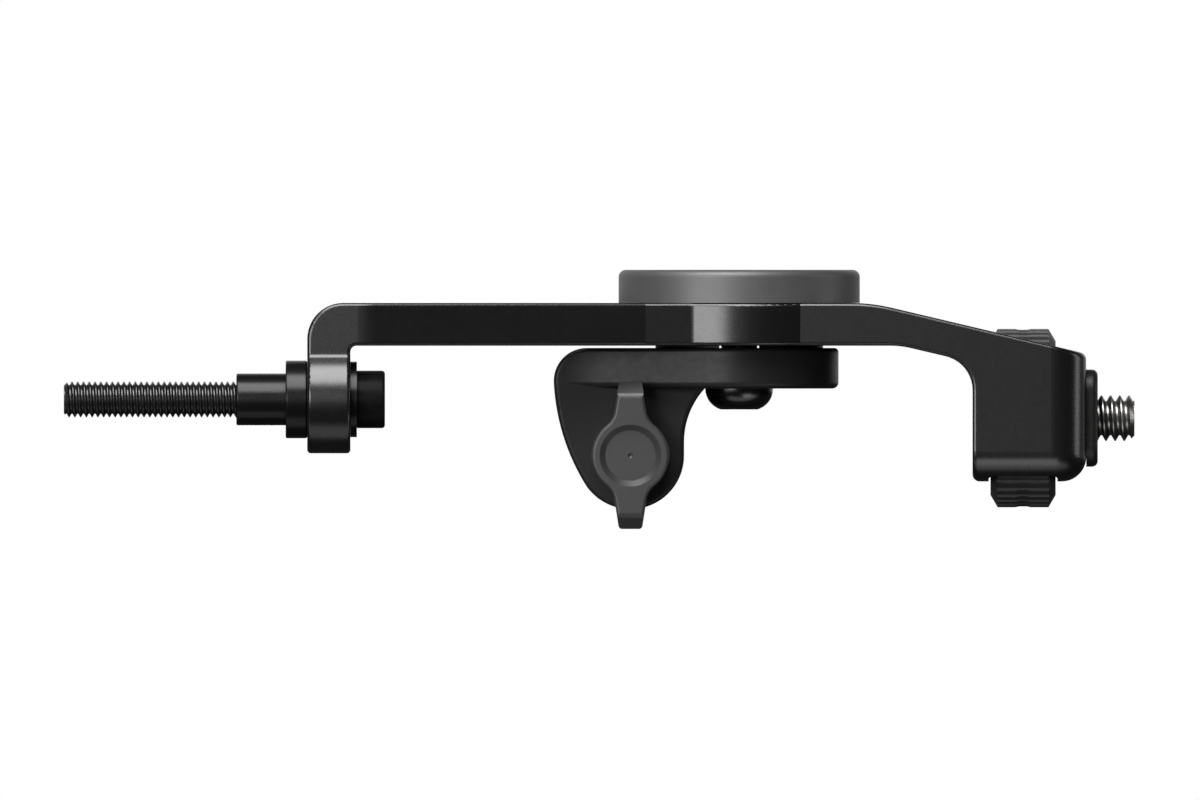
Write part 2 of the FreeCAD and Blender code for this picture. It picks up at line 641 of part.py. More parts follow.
def make_finger_mount():
    low = FINGER_AXIS_Z - FINGER_TIP_R
    slab = block(FINGER_BACK_X, DISC_X, -FINGER_HALF_WIDTH, FINGER_HALF_WIDTH, low - SPARE, PLATE_TOP)
    body = make_finger_side().common(make_finger_plate().fuse(slab)).removeSplitter()
    body = rounded(body, finger_round)
    boss = along_z(FINGER_BOSS_R, PLATE_TOP, ARM_BOTTOM, DISC_X, 0)
    half = FINGER_CHANNEL / 2
    reach = FINGER_BOSS_R + SPARE
    channel = block(DISC_X - half, DISC_X + half, -reach, reach, PLATE_TOP, ARM_BOTTOM + SPARE)
    body = body.fuse(boss.cut(channel))
    nut_boss = turned([
        (FINGER_HALF_WIDTH, 0, 0),
        (FINGER_HALF_WIDTH, NUT_BOSS_R, 0),
        (FINGER_HALF_WIDTH + NUT_BOSS_LENGTH, NUT_BOSS_R, NUT_EDGE),
        (FINGER_HALF_WIDTH + NUT_BOSS_LENGTH, 0, 0),
    ], vec(FINGER_X, 0, FINGER_AXIS_Z), vec(0, 1, 0))
    body = body.fuse(nut_boss)
    cuts = [
        along_z(PIVOT_SCREW_R + PIVOT_PLAY, PLATE_BOTTOM - SPARE, ARM_BOTTOM + SPARE, DISC_X, 0),
        along_y(THUMB_BOLT_R + PIVOT_PLAY, -FINGER_DISC_R, FINGER_DISC_R, FINGER_X, FINGER_AXIS_Z),
        hex_prism(NUT_FLATS + 2 * NUT_PLAY, vec(FINGER_X, NUT_SEAT_Y, FINGER_AXIS_Z), vec(0, 1, 0),
                  NUT_SINK + NUT_BOSS_LENGTH + SPARE),
    ]
    for side in (-1, 1):
        inner = side * FINGER_THICKNESS / 2
        outer = side * (FINGER_THICKNESS / 2 + FINGER_SLOT)
        y0, y1 = min(inner, outer), max(inner, outer)
        top = FINGER_AXIS_Z + FINGER_SLOT_R
        cuts.append(along_y(FINGER_SLOT_R, y0, y1, FINGER_X, FINGER_AXIS_Z))
        cuts.append(block(FINGER_X, DISC_X, y0, y1, low - SPARE, top))
        cuts.append(block(FINGER_BACK_X, DISC_X, y0, y1, low - SPARE, FINGER_AXIS_Z + FINGER_WEB_LIFT))
    return body.cut(cuts).removeSplitter()


def make_pivot_screw():
    """Button-head screw that holds the finger mount up against the arm."""
    low = PLATE_BOTTOM - PIVOT_HEAD_HEIGHT
    screw = along_z(PIVOT_SCREW_R, PLATE_BOTTOM - SPARE, PLATE_BOTTOM + PIVOT_SCREW_LENGTH, DISC_X, 0)
    width = PIVOT_HEAD_R - PIVOT_HEAD_FLAT_R
    dome_r = (width ** 2 + PIVOT_HEAD_HEIGHT ** 2) / (2 * width)
    dome = vec(PIVOT_HEAD_R - dome_r, 0, PLATE_BOTTOM)
    edges = [
        line(vec(0, 0, PLATE_BOTTOM), vec(PIVOT_HEAD_R, 0, PLATE_BOTTOM)),
        arc_about(dome, dome_r, 0, math.atan2(-PIVOT_HEAD_HEIGHT, dome_r - width)),
        line(vec(PIVOT_HEAD_FLAT_R, 0, low), vec(0, 0, low)),
        line(vec(0, 0, low), vec(0, 0, PLATE_BOTTOM)),
    ]
    head = Part.Face(Part.Wire(edges)).revolve(vec(0, 0, 0), vec(0, 0, 1), 360)
    head.translate(vec(DISC_X, 0, 0))
    key = hex_prism(PIVOT_KEY, vec(DISC_X, 0, low - SPARE), vec(0, 0, 1), PIVOT_KEY_DEPTH + SPARE)
    return screw.fuse(head).cut(key).removeSplitter()


def make_finger_nut():
    centre = vec(FINGER_X, NUT_SEAT_Y, FINGER_AXIS_Z)
    nut = hex_prism(NUT_FLATS, centre, vec(0, 1, 0), NUT_THICKNESS)
    corner = NUT_FLATS / math.sqrt(3)
    barrel = turned([
        (0, 0, 0),
        (0, NUT_FLATS / 2, 0),
        (corner - NUT_FLATS / 2, corner, 0),
        (NUT_THICKNESS + NUT_FLATS / 2 - corner, corner, 0),
        (NUT_THICKNESS, NUT_FLATS / 2, 0),
        (NUT_THICKNESS, 0, 0),
    ], centre, vec(0, 1, 0))
    hole = along_y(THUMB_BOLT_R + THREAD_CLEARANCE, NUT_SEAT_Y - SPARE, NUT_SEAT_Y + NUT_THICKNESS + SPARE,
                   FINGER_X, FINGER_AXIS_Z)
    return nut.common(barrel).cut(hole)


# Thumb screw
def make_thumb_bolt():
    centre = vec(FINGER_X, THUMB_HEAD_Y, FINGER_AXIS_Z)
    length = NUT_SEAT_Y + NUT_THICKNESS + THUMB_BOLT_PAST_NUT - THUMB_HEAD_Y
    shank = turned([
        (0, 0, 0),
        (0, THUMB_BOLT_R, 0),
        (length - THUMB_BOLT_POINT, THUMB_BOLT_R, 0),
        (length, THUMB_BOLT_R - THUMB_BOLT_POINT, 0),
        (length, 0, 0),
    ], centre, vec(0, 1, 0))
    return shank.fuse(hex_prism(THUMB_HEAD_FLATS, centre, vec(0, 1, 0), THUMB_HEAD_LENGTH)).removeSplitter()


def wing_round(at, box, normals):
    """Rounding radius for one edge of the thumb wing before it is hollowed."""
    reach = math.hypot(at.x - FINGER_X, at.z - FINGER_AXIS_Z)
    is_root = close(box.YLength, WING_THICKNESS) and reach < WING_HUB_R + TINY
    return WING_BLEND if is_root else 0


def wing_rim_round(at, box, normals):
    """Rounding radius for one edge of the thumb wing's front face."""
    if not close(box.YMax, HUB_FRONT_Y):
        return 0
    is_bend = close(box.YLength, 0) and close(abs(at.z - FINGER_AXIS_Z), WING_REACH - WING_TIP_SLOPE)
    return WING_BEND_R if is_bend else WING_EDGE


def make_thumb_wing():
    """Hub with a dished face and two wings whose tips slope back."""
    hub_back = -FINGER_HALF_WIDTH
    wing_back = HUB_FRONT_Y + WING_THICKNESS
    root = WING_HUB_R * math.cos(math.asin(WING_ROOT_HALF / WING_HUB_R))
    corners = []
    for side in (-1, 1):
        corners += [
            (FINGER_X - side * WING_ROOT_HALF, FINGER_AXIS_Z + side * root, 0),
            (FINGER_X - side * WING_TIP_HALF, FINGER_AXIS_Z + side * WING_REACH, WING_TIP_CORNER),
            (FINGER_X + side * WING_TIP_HALF, FINGER_AXIS_Z + side * WING_REACH, WING_TIP_CORNER),
            (FINGER_X + side * WING_ROOT_HALF, FINGER_AXIS_Z + side * root, 0),
        ]
    blades = rounded_face(corners, on_side)
    blades.translate(vec(0, HUB_FRONT_Y, 0))
    blades = blades.extrude(vec(0, WING_THICKNESS, 0))
    disc = along_y(WING_HUB_R, HUB_FRONT_Y, wing_back, FINGER_X, FINGER_AXIS_Z)
    wing = rounded(blades.fuse(disc).removeSplitter(), wing_round)
    for side in (-1, 1):
        tip = FINGER_AXIS_Z + side * WING_REACH
        bend = tip - side * WING_TIP_SLOPE
        half = WING_TIP_HALF + SPARE
        corner = Part.makePolygon([
            vec(FINGER_X - half, HUB_FRONT_Y, bend),
            vec(FINGER_X - half, HUB_FRONT_Y, tip + side * SPARE),
            vec(FINGER_X - half, HUB_FRONT_Y + WING_TIP_SLOPE + SPARE, tip + side * SPARE),
            vec(FINGER_X - half, HUB_FRONT_Y, bend),
        ])
        wing = wing.cut(Part.Face(corner).extrude(vec(2 * half, 0, 0)))
    wing = rounded(wing, wing_rim_round)
    neck = along_y(WING_HUB_R, wing_back, hub_back, FINGER_X, FINGER_AXIS_Z)
    dish = turned([
        (-SPARE, 0, 0),
        (-SPARE, DISH_R, 0),
        (0, DISH_R, 0),
        (DISH_DEPTH, DISH_R - DISH_WALL, 0),
        (DISH_DEPTH, DIMPLE_R, 0),
        (DISH_DEPTH + DIMPLE_DEPTH, 0, 0),
    ], vec(FINGER_X, HUB_FRONT_Y, FINGER_AXIS_Z), vec(0, 1, 0))
    head = hex_prism(THUMB_HEAD_FLATS, vec(FINGER_X, THUMB_HEAD_Y, FINGER_AXIS_Z), vec(0, 1, 0),
                     THUMB_HEAD_LENGTH)
    hole = along_y(THUMB_BOLT_R + THREAD_CLEARANCE, THUMB_HEAD_Y, hub_back + SPARE, FINGER_X, FINGER_AXIS_Z)
    return wing.fuse(neck).removeSplitter().cut([dish, head, hole])


# Camera screw, wheel and pad
def make_camera_screw():
    head_back = BOX_BACK + CAMERA_HEAD_SINK
    tip = PAD_FRONT + CAMERA_SCREW_REACH
    screw = turned([
        (head_back, 0, 0),
        (head_back, CAMERA_HEAD_R, 0),
        (WHEEL_BACK, CAMERA_HEAD_R, 0),
        (WHEEL_BACK, CAMERA_SCREW_R, 0),
        (SLOT_FRONT, CAMERA_SCREW_R, 0),
        (SLOT_FRONT, CAMERA_RELIEF_R, 0),
        (PAD_FRONT + THREAD_RUNOUT, CAMERA_RELIEF_R, 0),
        (PAD_FRONT + THREAD_RUNOUT, CAMERA_SCREW_R, 0),
        (tip - CAMERA_SCREW_POINT, CAMERA_SCREW_R, 0),
        (tip, CAMERA_SCREW_R - CAMERA_SCREW_POINT, 0),
        (tip, 0, 0),
    ], vec(0, 0, WHEEL_AXIS_Z), vec(1, 0, 0))
    key = hex_prism(CAMERA_KEY, vec(head_back - SPARE, 0, WHEEL_AXIS_Z), vec(1, 0, 0),
                    CAMERA_KEY_DEPTH + SPARE)
    return screw.cut(key)


def make_camera_wheel():
    """Thumb wheel with bevelled rims, a shallow waist and straight grooves to grip."""
    bore = CAMERA_SCREW_R + WHEEL_BORE_PLAY
    bevel_r = WHEEL_R - WHEEL_BEVEL_DEPTH
    middle = (WHEEL_BACK + WHEEL_FRONT) / 2
    waist = WHEEL_WAIST_WIDTH / 2
    wheel = turned([
        (WHEEL_BACK, bore, 0),
        (WHEEL_BACK, bevel_r, 0),
        (WHEEL_BACK + WHEEL_BEVEL, WHEEL_R, 0),
        (middle - waist, WHEEL_R, 0),
        (middle - waist / 2, WHEEL_R - WHEEL_WAIST_DEPTH, 0),
        (middle + waist / 2, WHEEL_R - WHEEL_WAIST_DEPTH, 0),
        (middle + waist, WHEEL_R, 0),
        (WHEEL_FRONT - WHEEL_BEVEL, WHEEL_R, 0),
        (WHEEL_FRONT, bevel_r, 0),
        (WHEEL_FRONT, bore, 0),
    ], vec(0, 0, WHEEL_AXIS_Z), vec(1, 0, 0))
    groove_centre = WHEEL_R + WHEEL_GROOVE_R - WHEEL_GROOVE_DEPTH
    cuts = []
    for i in range(WHEEL_GROOVES):
        turn = 2 * math.pi * i / WHEEL_GROOVES
        cuts.append(along_x(WHEEL_GROOVE_R, WHEEL_BACK - SPARE, WHEEL_FRONT + SPARE,
                            groove_centre * math.cos(turn), WHEEL_AXIS_Z + groove_centre * math.sin(turn)))
    cuts.append(along_y(GRUB_R + THREAD_CLEARANCE, 0, WHEEL_R + SPARE, middle, WHEEL_AXIS_Z))
    return wheel.cut(cuts)


def make_wheel_grub():
    middle = (WHEEL_BACK + WHEEL_FRONT) / 2
    start = CAMERA_SCREW_R + WHEEL_BORE_PLAY
    grub = along_y(GRUB_R, start, start + GRUB_LENGTH, middle, WHEEL_AXIS_Z)
    key = hex_prism(GRUB_KEY, vec(middle, start + GRUB_LENGTH - GRUB_KEY_DEPTH, WHEEL_AXIS_Z),
                    vec(0, 1, 0), GRUB_KEY_DEPTH + SPARE)
    return grub.cut(key)


def make_camera_pad():
    low, high = WHEEL_AXIS_Z - PAD_HALF_HEIGHT, WHEEL_AXIS_Z + PAD_HALF_HEIGHT
    face = rounded_face([
        (-PAD_HALF_WIDTH, low, PAD_CORNER),
        (PAD_HALF_WIDTH, low, PAD_CORNER),
        (PAD_HALF_WIDTH, high, PAD_CORNER),
        (-PAD_HALF_WIDTH, high, PAD_CORNER),
    ], on_front)
    face.translate(vec(BOX_FRONT, 0, 0))
    pad = face.extrude(vec(PAD_THICKNESS, 0, 0))
    rims = [edge for edge in pad.Edges if edge.BoundBox.XLength < TINY]
    pad = pad.makeFillet(PAD_EDGE, rims)
    hole = CAMERA_SCREW_R + PAD_HOLE_PLAY
    return pad.cut(along_x(hole, BOX_FRONT - SPARE, PAD_FRONT + SPARE, 0, WHEEL_AXIS_Z))


def make_pieces():
    """Every piece by the name of its node."""
    pieces = {
        "arm": make_arm(),
        "computer_socket": make_socket(),
        "finger_mount": make_finger_mount(),
        "pivot_screw": make_pivot_screw(),
        "finger_nut": make_finger_nut(),
        "thumb_bolt": make_thumb_bolt(),
        "thumb_wing": make_thumb_wing(),
        "camera_screw": make_camera_screw(),
        "camera_wheel": make_camera_wheel(),
        "wheel_grub_screw": make_wheel_grub(),
        "camera_pad": make_camera_pad(),
    }
    for name, side in (("right", -1), ("left", 1)):
        pieces["stem_bolt_" + name] = make_stem_bolt(side * BOLT_Y)
        pieces["stem_spacer_" + name] = make_stem_spacer(side * BOLT_Y)
        pieces["stem_washer_" + name] = make_stem_washer(side * BOLT_Y)
    for name, side in (("rear", -1), ("front", 1)):
        pieces["socket_screw_" + name] = make_socket_screw(side)
    return pieces


if __name__ == "__main__":
    os.makedirs("parts", exist_ok=True)
    for node, solid in make_pieces().items():
        solid.exportStep("parts/" + node + ".step")
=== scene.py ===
"""Looks of a bike computer mount: threaded screws, rubber pad, finishes and studio around its fixed frame."""

import math

import bpy
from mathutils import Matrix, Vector


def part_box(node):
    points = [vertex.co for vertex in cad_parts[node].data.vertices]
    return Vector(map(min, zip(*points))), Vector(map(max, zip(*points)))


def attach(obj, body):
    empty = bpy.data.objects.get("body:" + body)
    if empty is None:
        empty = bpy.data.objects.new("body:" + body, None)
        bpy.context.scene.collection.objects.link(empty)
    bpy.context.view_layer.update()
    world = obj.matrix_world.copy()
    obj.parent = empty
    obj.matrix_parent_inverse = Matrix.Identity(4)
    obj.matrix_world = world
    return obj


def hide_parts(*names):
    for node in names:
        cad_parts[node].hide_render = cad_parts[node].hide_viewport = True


bl_info = {
    "name": "Bike Computer Mount",
    "version": (1, 0, 0),
    "blender": (4, 5, 0),
    "location": "View3D > Sidebar > Mount",
    "description": "Adds the screws, the pad, the finishes and the studio of a bike computer mount",
    "category": "Object",
}

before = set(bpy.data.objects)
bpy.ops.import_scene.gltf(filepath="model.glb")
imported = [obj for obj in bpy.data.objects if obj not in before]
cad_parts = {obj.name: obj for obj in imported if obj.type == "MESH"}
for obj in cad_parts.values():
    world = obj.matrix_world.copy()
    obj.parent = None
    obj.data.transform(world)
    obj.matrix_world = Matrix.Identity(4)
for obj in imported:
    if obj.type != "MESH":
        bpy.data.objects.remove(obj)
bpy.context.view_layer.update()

MM = 0.001
TINY = 1e-7

# The photograph: its size, its scale and the pixel of a known place on the arm
PHOTO_WIDTH = 1199
PHOTO_HEIGHT = 800
PIXELS_PER_METRE = 7200
EYE_BACK_PIXEL = 307.2
BOLT_AXIS_PIXEL = 399.4

# Thread form, as shares of the pitch
THREAD_DEPTH = 0.6134
THREAD_CREST = 0.125
THREAD_ROOT = 0.167

# Turns of a thread: cut off past each of its ends, and hidden in a stem bolt's spacer
SPARE_TURNS = 2
HIDDEN_TURNS = 4

# Steps of a thread's turn, of a turned piece, of a rounded corner and of the pad's corners and rim
THREAD_STEPS = 40
TURNED_STEPS = 72
ROUND_STEPS = 6
PAD_CORNER_STEPS = 12
PAD_RIM_STEPS = 6

# Small roundings, a thread's room in its blank, and how far joined or cut solids reach past each other
STEM_HEAD_BASE_ROUND = 0.1 * MM
CAMERA_HEAD_ROUND = 0.15 * MM
KEY_LEAD = 0.12 * MM
BLANK_ROOM = 0.01 * MM
OVERLAP = 1 * MM
SMOOTH_ANGLE = math.radians(35)

# The middle part of a noise's range, which clouds of colour and grains of roughness follow
CLOUD_RANGE = (0.35, 0.65)
GRAIN_RANGE = (0.3, 0.7)

# How much finer a screw's scratches are along its axis than round it
SCRATCH_SCALE = (8, 1, 1)

# The carried-over pieces that take each finish
FINISHED_NODES = {
    "anodised_aluminium": ("arm",),
    "wheel_aluminium": ("camera_wheel",),
    "black_plastic": ("finger_mount",),
    "socket_plastic": ("computer_socket",),
    "wing_plastic": ("thumb_wing",),
    "black_steel": ("socket_screw_rear", "socket_screw_front", "finger_nut", "wheel_grub_screw"),
    "polished_steel": ("pivot_screw",),
    "spacer_aluminium": ("stem_spacer_right", "stem_spacer_left", "stem_washer_right", "stem_washer_left"),
}

# Softboxes: name, brightness setting, azimuth and elevation in degrees, width and height in metres
SOFTBOX_DISTANCE = 0.8
SOFTBOXES = (
    ("box_front_left", "front_left", -29, 6, 0.50, 0.3),
    ("box_front", "front_light", 2, 4, 0.25, 0.3),
    ("box_above_front", "overhead", -20, 55, 0.7, 0.62),
    ("box_right", "side", 95, 3, 0.24, 0.5),
    ("box_left_behind", "left_behind", -127, 3, 0.5, 0.5),
)

# Cards that lie under the view: distance in front of the object's middle, length and width
LOW_CARD = (0.042, 0.22, 0.034)
BOX_CARD = (0.070, 0.05, 0.05)

# Floor: it fades into the white background between two distances from the object
FLOOR_RADIUS = 3
FLOOR_SIDES = 96
FLOOR_COLOUR = (0.85, 0.85, 0.85, 1)
FLOOR_FADE = (0.10, 0.35)

# Surroundings: reflections go from dark to white between two shares of the way to straight behind
SURROUNDINGS_COLOUR = (1, 1, 1, 1)
WHITE_BEHIND = (0.68, 1.0)

# Camera, in metres
CAMERA_DISTANCE = 0.6
CLIP_START = 0.01
CLIP_END = 10


def length_property(name, description, default):
    return bpy.props.FloatProperty(
        name=name, description=description, default=default, min=0, precision=5, unit="LENGTH")


def colour_property(name, description, default):
    return bpy.props.FloatVectorProperty(
        name=name, description=description, default=default, min=0, max=1, size=4, subtype="COLOR")


def brightness_property(name, description, default):
    return bpy.props.FloatProperty(name=name, description=description, default=default, min=0)


class ScrewSizes(bpy.types.PropertyGroup):
    """Sizes of the screws that the frame holds as plain cylinders."""

    stem_radius: length_property(
        "Stem bolt radius", "Crest radius of the stem and thumb bolts", 2.5 * MM)
    stem_pitch: length_property(
        "Stem bolt pitch", "Pitch of the stem and thumb bolts' threads", 0.8 * MM)
    stem_shank: length_property(
        "Stem bolt shank", "Radius of the stem and thumb bolts between thread and head", 2.3 * MM)
    stem_point: length_property(
        "Stem bolt point", "Width of the chamfer at the stem and thumb bolts' ends", 0.55 * MM)
    stem_head: length_property(
        "Stem bolt head", "Length of the stem bolts' heads", 3.9 * MM)
    stem_head_round: length_property(
        "Stem bolt head rounding", "Rounding of the stem bolts' heads", 0.45 * MM)
    key: length_property(
        "Key", "Width across the flats of the stem bolts' and the camera screw's key sockets", 4.0 * MM)
    key_depth: length_property(
        "Key depth", "Depth of the stem bolts' and the camera screw's key sockets", 2.6 * MM)
    camera_radius: length_property(
        "Camera screw radius", "Crest radius of the camera screw's thread", 3.175 * MM)
    camera_pitch: length_property(
        "Camera screw pitch", "Pitch of the camera screw, 20 threads to the inch", 1.27 * MM)
    camera_point: length_property(
        "Camera screw point", "Width of the chamfer at the camera screw's end", 0.75 * MM)
    camera_phase: length_property(
        "Camera screw phase", "How far the turns of the camera screw are moved from its end", 0.25 * MM)
    camera_head: length_property(
        "Camera screw head", "Length of the camera screw's head in the box's back wall", 2.0 * MM)
    camera_relief: length_property(
        "Camera screw relief", "Radius of the camera screw inside the front wall", 2.6 * MM)
    thumb_head: length_property(
        "Thumb bolt head", "Length of the thumb bolt's six-sided head", 3.0 * MM)
    thumb_flats: length_property(
        "Thumb bolt flats", "Width across the flats of the thumb bolt's head", 8.0 * MM)


class PadSizes(bpy.types.PropertyGroup):
    """Sizes of the rubber pad."""

    corner: length_property("Pad corner", "Radius of the pad's four corners", 3.0 * MM)
    edge: length_property("Pad edge", "Width of the bevel round the pad's front", 0.8 * MM)
    hole: length_property("Pad hole", "Radius of the hole for the camera screw", 3.575 * MM)


class FinishColours(bpy.types.PropertyGroup):
    """Colours of the finishes."""

    anodised: colour_property(
        "Anodised black", "Black of the arm's satin anodising", (0.0034, 0.0034, 0.0036, 1))
    black_plastic: colour_property(
        "Black plastic", "Black of the moulded finger mount", (0.0085, 0.0085, 0.0085, 1))
    socket_grey: colour_property(
        "Socket grey", "Grey of the computer's socket", (0.040, 0.040, 0.040, 1))
    wing_grey: colour_property(
        "Wing grey", "Grey of the thumb screw's wing", (0.020, 0.020, 0.020, 1))
    spacer_black: colour_property(
        "Spacer black", "Black of the turned spacers and washers", (0.0028, 0.0028, 0.0029, 1))
    black_steel: colour_property(
        "Black steel", "Black oxide of the screws", (0.0065, 0.0065, 0.0065, 1))
    # Painted shade: a darker black for the stem bolts' heads, standing in for the shadow the arm's bar casts
    # on them
    bolt_head_shade_black: colour_property(
        "Bolt head black", "Deep black of the stem bolts' heads", (0.0040, 0.0040, 0.0040, 1))
    polished_black: colour_property(
        "Polished black", "Black of the glossy pivot screw", (0.0010, 0.0010, 0.0010, 1))
    bare_steel: colour_property(
        "Bare steel", "Steel of the camera thread", (0.27, 0.266, 0.262, 1))
    wheel: colour_property(
        "Wheel grey", "Dark grey of the anodised thumb wheel", (0.008, 0.008, 0.0084, 1))
    rubber: colour_property(
        "Rubber", "Black of the camera pad", (0.003, 0.003, 0.003, 1))


class StudioSettings(bpy.types.PropertyGroup):
    """Places and strengths of the studio's lights; a brightness of 1 is that of the white background."""

    front_left: brightness_property(
        "Front left light", "Brightness of the box at the front left", 9.3)
    front_light: brightness_property(
        "Front light", "Brightness of the dim box between it and the camera", 0.2)
    overhead: brightness_property(
        "Overhead light", "Brightness of the box above the front", 11)
    side: brightness_property(
        "Side light", "Brightness of the narrow box at the right", 2.5)
    left_behind: brightness_property(
        "Left light behind", "Brightness of the dim box at the left behind", 0.3)
    low_card: brightness_property(
        "Low card", "Brightness of the card that lies in front", 0.75)
    box_card: brightness_property(
        "Box card", "Brightness of the small card under the wheel's box", 2.1)
    ambient: brightness_property(
        "Ambient", "Brightness of the light from all round", 0.2)
    front: brightness_property(
        "Front", "Brightness of the dark studio that the front reflects", 0.03)
    floor_drop: length_property(
        "Floor drop", "How far the floor lies below the photograph's lower edge", 6 * MM)


# Modelling
def middle_of(node):
    """Middle of a node's box."""
    low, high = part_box(node)
    return (low + high) / 2


def select_only(piece):
    """Selects this object alone and makes it active."""
    bpy.ops.object.select_all(action="DESELECT")
    piece.select_set(True)
    bpy.context.view_layer.objects.active = piece


def apply_modifier(piece, kind, **settings):
    """Adds a modifier with its settings and applies it."""
    select_only(piece)
    modifier = piece.modifiers.new(kind.lower(), kind)
    for name, value in settings.items():
        setattr(modifier, name, value)
    bpy.ops.object.modifier_apply(modifier=modifier.name)


def combine(piece, other, operation):
    """Joins another solid to the piece, or cuts with it, and removes that solid."""
    apply_modifier(piece, "BOOLEAN", object=other, operation=operation, solver="EXACT")
    bpy.data.objects.remove(other)


def close_mesh():
    """Merges the doubles of the mesh in edit mode, turns its faces outwards and leaves edit mode."""
    bpy.ops.mesh.select_all(action="SELECT")
    bpy.ops.mesh.remove_doubles(threshold=TINY)
    bpy.ops.mesh.normals_make_consistent(inside=False)
    bpy.ops.object.mode_set(mode="OBJECT")


def bevel_edges(piece, wanted, width, steps):
    """Bevels the edges whose two ends pass a test."""
    select_only(piece)
    bpy.ops.object.mode_set(mode="EDIT")
    bpy.ops.mesh.select_mode(type="EDGE")
    bpy.ops.mesh.select_all(action="DESELECT")
    bpy.ops.object.mode_set(mode="OBJECT")
    for edge in piece.data.edges:
        edge.select = wanted(*(piece.data.vertices[i].co for i in edge.vertices))
    bpy.ops.object.mode_set(mode="EDIT")
    bpy.ops.mesh.bevel(offset=width, offset_type="OFFSET", segments=steps, affect="EDGES")
    bpy.ops.object.mode_set(mode="OBJECT")


def soften(corners):
    """Points through (along, out, radius) corners, each corner rounded by its own radius."""
    points = []
    for i, (along, out, radius) in enumerate(corners):
        here = Vector((along, out))
        if radius == 0:
            points.append(here)
            continue
        back = (Vector(corners[i - 1][:2]) - here).normalized()
        ahead = (Vector(corners[i + 1][:2]) - here).normalized()
        half = back.angle(ahead) / 2
        centre = here + (back + ahead).normalized() * (radius / math.sin(half))
        start = (here + back * (radius / math.tan(half)) - centre).normalized()
        end = (here + ahead * (radius / math.tan(half)) - centre).normalized()
        points += [centre + radius * start.slerp(end, step / ROUND_STEPS) for step in range(ROUND_STEPS + 1)]
    return points


def draw_outline(name, points):
    """Draws an outline of (along X, out from the X axis) points and leaves it in edit mode."""
    bpy.ops.object.select_all(action="DESELECT")
    bpy.ops.mesh.primitive_plane_add(size=MM)
    piece = bpy.context.object
    piece.name = name
    bpy.ops.object.mode_set(mode="EDIT")
    bpy.ops.mesh.select_all(action="SELECT")
    bpy.ops.mesh.merge(type="CENTER")
    bpy.ops.transform.translate(value=(points[0][0], 0, points[0][1]))
    for before, here in zip(points, points[1:]):
        step = (here[0] - before[0], 0, here[1] - before[1])
        bpy.ops.mesh.extrude_region_move(TRANSFORM_OT_translate={"value": step})
    return piece


def turn_piece(name, corners):
    """Turns an outline that starts and ends on the X axis into a closed solid."""
    piece = draw_outline(name, soften(corners))
    bpy.ops.mesh.select_all(action="SELECT")
    bpy.ops.mesh.spin(steps=TURNED_STEPS, angle=2 * math.pi, center=(0, 0, 0), axis=(1, 0, 0))
    close_mesh()
    return piece


def make_thread(name, radius, pitch, start, end, point, phase=0.0):
    """Thread about the X axis, chamfered where it starts, with its turns moved on by a phase."""
    crest = THREAD_CREST * pitch
    flank = (1 - THREAD_CREST - THREAD_ROOT) / 2 * pitch
    depth = THREAD_DEPTH * pitch
    x = start - SPARE_TURNS * pitch + phase
    thread = draw_outline(name, [
        (x, radius - depth), (x + flank, radius), (x + flank + crest, radius),
        (x + 2 * flank + crest, radius - depth), (x + pitch, radius - depth)])
    bpy.ops.object.mode_set(mode="OBJECT")
    turns = math.ceil((end - start) / pitch) + 2 * SPARE_TURNS
    apply_modifier(thread, "SCREW", axis="X", angle=2 * math.pi, screw_offset=pitch, iterations=turns,
                   steps=THREAD_STEPS, render_steps=THREAD_STEPS, use_merge_vertices=True,
                   merge_threshold=TINY)
    bpy.ops.object.mode_set(mode="EDIT")
    for place, side in ((start, "clear_inner"), (end, "clear_outer")):
        bpy.ops.mesh.select_all(action="SELECT")
        bpy.ops.mesh.bisect(plane_co=(place, 0, 0), plane_no=(1, 0, 0), use_fill=True, threshold=TINY,
                            **{side: True})
    close_mesh()
    blank = turn_piece("blank", [
        (start, 0, 0),
        (start, radius - point, 0),
        (start + point, radius + BLANK_ROOM, 0),
        (end + OVERLAP, radius + BLANK_ROOM, 0),
        (end + OVERLAP, 0, 0)])
    combine(thread, blank, "INTERSECT")
    return thread


def make_hex(flats, start, end):
    """Six-sided bar about the X axis."""
    bpy.ops.object.select_all(action="DESELECT")
    bpy.ops.mesh.primitive_cylinder_add(
        vertices=6, radius=flats / math.sqrt(3), depth=end - start, location=((start + end) / 2, 0, 0),
        rotation=(0, math.pi / 2, 0))
    bpy.ops.object.transform_apply(location=True, rotation=True, scale=True)
    return bpy.context.object


def cut_key(piece, flats, mouth, floor):
    """Cuts a key socket with a chamfered mouth into the end of a screw."""
    combine(piece, make_hex(flats, min(mouth, floor), max(mouth, floor)), "DIFFERENCE")
    out = math.copysign(OVERLAP, mouth - floor)
    lead = flats / math.sqrt(3) + KEY_LEAD
    cone = turn_piece("lead", [
        (mouth + out, 0, 0), (mouth + out, lead + OVERLAP, 0), (mouth - lead * math.copysign(1, out), 0, 0)])
    combine(piece, cone, "DIFFERENCE")


def settle(piece, place, turn=0.0):
    """Turns the piece about Z, moves it to its place and leaves its object at the origin."""
    select_only(piece)
    piece.rotation_euler = (0, 0, turn)
    piece.location = place
    bpy.ops.object.transform_apply(location=True, rotation=True, scale=True)


def hand_over(piece, body, finish, node):
    """Shades the piece, gives it its finish and lets it ride on its body in the node's place."""
    select_only(piece)
    bpy.ops.object.shade_smooth_by_angle(angle=SMOOTH_ANGLE)
    piece.data.materials.clear()
    piece.data.materials.append(bpy.data.materials[finish])
    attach(piece, body)
    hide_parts(node)


